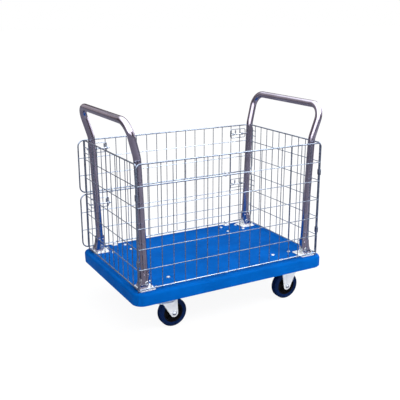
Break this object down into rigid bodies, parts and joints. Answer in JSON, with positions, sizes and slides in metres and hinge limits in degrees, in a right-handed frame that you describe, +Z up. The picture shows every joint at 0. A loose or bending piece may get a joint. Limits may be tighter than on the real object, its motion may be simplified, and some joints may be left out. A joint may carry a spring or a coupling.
{
  "type": "folding platform cart",
  "caption": "Platform cart with a plastic deck, casters, a fold-in tube handle at each end and a wire cage whose rear side is a drop gate in two halves with slide bolts.",
  "frame": {"origin": "on the floor, under the middle of the deck", "axes": "+X along the deck towards the rigid casters, -Y the fixed front side of the cage, +Y the gate side, +Z up"},
  "size_m": [0.9148, 0.6, 0.864],
  "materials": {
    "deck_plastic": "moulded, fine grain, semi-matt blue",
    "handle_tube_steel": "polished stainless tube",
    "cage_wire_zinc": "bright zinc plated wire",
    "pressed_zinc": "white zinc plated pressing",
    "fastener_zinc": "zinc plated fastener",
    "tyre_rubber": "dark navy-black rubber",
    "core_plastic": "black moulded wheel core"
  },
  "bodies": {
    "chassis": {"deck": "deck_plastic", "caster_plate_front_left": "pressed_zinc", "pivot_bracket_front_left": "pressed_zinc", "pivot_pin_front_left": "fastener_zinc", "caster_fork_front_right": "pressed_zinc", "axle_bolt_front_right": "fastener_zinc", "axle_nut_front_right": "fastener_zinc", "pivot_bracket_front_right": "pressed_zinc", "pivot_pin_front_right": "fastener_zinc", "caster_plate_rear_left": "pressed_zinc", "pivot_bracket_rear_left": "pressed_zinc", "pivot_pin_rear_left": "fastener_zinc", "caster_fork_rear_right": "pressed_zinc", "axle_bolt_rear_right": "fastener_zinc", "axle_nut_rear_right": "fastener_zinc", "pivot_bracket_rear_right": "pressed_zinc", "pivot_pin_rear_right": "fastener_zinc", "cage_end_panel_left": "cage_wire_zinc", "corner_clip_upper_left": "pressed_zinc", "corner_clip_lower_left": "pressed_zinc", "gate_hinge_eye_left": "pressed_zinc", "cage_end_panel_right": "cage_wire_zinc", "corner_clip_upper_right": "pressed_zinc", "corner_clip_lower_right": "pressed_zinc", "gate_hinge_eye_right": "pressed_zinc", "cage_front_panel": "cage_wire_zinc"},
    "swivel_front_left": {"caster_fork_front_left": "pressed_zinc", "axle_bolt_front_left": "fastener_zinc", "axle_nut_front_left": "fastener_zinc"},
    "wheel_front_left": {"wheel_core_front_left": "core_plastic", "tyre_front_left": "tyre_rubber"},
    "handle_left": {"handle_foot_front_left": "handle_tube_steel", "handle_foot_rear_left": "handle_tube_steel", "handle_tube_left": "handle_tube_steel"},
    "wheel_front_right": {"wheel_core_front_right": "core_plastic", "tyre_front_right": "tyre_rubber"},
    "handle_right": {"handle_foot_front_right": "handle_tube_steel", "handle_foot_rear_right": "handle_tube_steel", "handle_tube_right": "handle_tube_steel"},
    "swivel_rear_left": {"caster_fork_rear_left": "pressed_zinc", "axle_bolt_rear_left": "fastener_zinc", "axle_nut_rear_left": "fastener_zinc"},
    "wheel_rear_left": {"wheel_core_rear_left": "core_plastic", "tyre_rear_left": "tyre_rubber"},
    "wheel_rear_right": {"wheel_core_rear_right": "core_plastic", "tyre_rear_right": "tyre_rubber"},
    "gate_lower": {"gate_fold_ring_left": "pressed_zinc", "latch_frame_lower_left": "cage_wire_zinc", "gate_fold_ring_right": "pressed_zinc", "latch_frame_lower_right": "cage_wire_zinc", "gate_lower_half": "cage_wire_zinc"},
    "gate_upper": {"latch_frame_upper_left": "cage_wire_zinc", "latch_frame_upper_right": "cage_wire_zinc", "gate_upper_half": "cage_wire_zinc"},
    "latch_bolt_upper_left": {"latch_bolt_upper_left": "fastener_zinc"},
    "latch_bolt_lower_left": {"latch_bolt_lower_left": "fastener_zinc"},
    "latch_bolt_upper_right": {"latch_bolt_upper_right": "fastener_zinc"},
    "latch_bolt_lower_right": {"latch_bolt_lower_right": "fastener_zinc"}
  },
  "joints": [
    {"name": "handle_left_fold", "type": "hinge", "parent": "chassis", "child": "handle_left", "pos_m": [-0.384, 0, 0.22], "axis": [0, 1, 0], "range_deg": [0, 90]},
    {"name": "handle_right_fold", "type": "hinge", "parent": "chassis", "child": "handle_right", "pos_m": [0.384, 0, 0.22], "axis": [0, -1, 0], "range_deg": [0, 57]},
    {"name": "gate_lower_drop", "type": "hinge", "parent": "chassis", "child": "gate_lower", "pos_m": [0, 0.281, 0.209], "axis": [-1, 0, 0], "range_deg": [0, 90]},
    {"name": "gate_upper_drop", "type": "hinge", "parent": "gate_lower", "child": "gate_upper", "pos_m": [0, 0.286, 0.457], "axis": [-1, 0, 0], "range_deg": [0, 180]},
    {"name": "latch_upper_left_slide", "type": "slide", "parent": "gate_upper", "child": "latch_bolt_upper_left", "axis": [-1, 0, 0], "range_m": [0, 0.025]},
    {"name": "latch_upper_right_slide", "type": "slide", "parent": "gate_upper", "child": "latch_bolt_upper_right", "axis": [1, 0, 0], "range_m": [0, 0.025]},
    {"name": "latch_lower_left_slide", "type": "slide", "parent": "gate_lower", "child": "latch_bolt_lower_left", "axis": [-1, 0, 0], "range_m": [0, 0.025]},
    {"name": "latch_lower_right_slide", "type": "slide", "parent": "gate_lower", "child": "latch_bolt_lower_right", "axis": [1, 0, 0], "range_m": [0, 0.025]},
    {"name": "caster_front_left_swivel", "type": "hinge", "parent": "chassis", "child": "swivel_front_left", "pos_m": [-0.3, -0.221, 0.128], "axis": [0, 0, 1], "continuous": true},
    {"name": "caster_rear_left_swivel", "type": "hinge", "parent": "chassis", "child": "swivel_rear_left", "pos_m": [-0.3, 0.221, 0.128], "axis": [0, 0, 1], "continuous": true},
    {"name": "wheel_front_left_roll", "type": "hinge", "parent": "swivel_front_left", "child": "wheel_front_left", "pos_m": [-0.26, -0.221, 0.06], "axis": [0, 1, 0], "continuous": true},
    {"name": "wheel_front_right_roll", "type": "hinge", "parent": "chassis", "child": "wheel_front_right", "pos_m": [0.3, -0.221, 0.06], "axis": [0, 1, 0], "continuous": true},
    {"name": "wheel_rear_left_roll", "type": "hinge", "parent": "swivel_rear_left", "child": "wheel_rear_left", "pos_m": [-0.26, 0.221, 0.06], "axis": [0, 1, 0], "continuous": true},
    {"name": "wheel_rear_right_roll", "type": "hinge", "parent": "chassis", "child": "wheel_rear_right", "pos_m": [0.3, 0.221, 0.06], "axis": [0, 1, 0], "continuous": true}
  ]
}
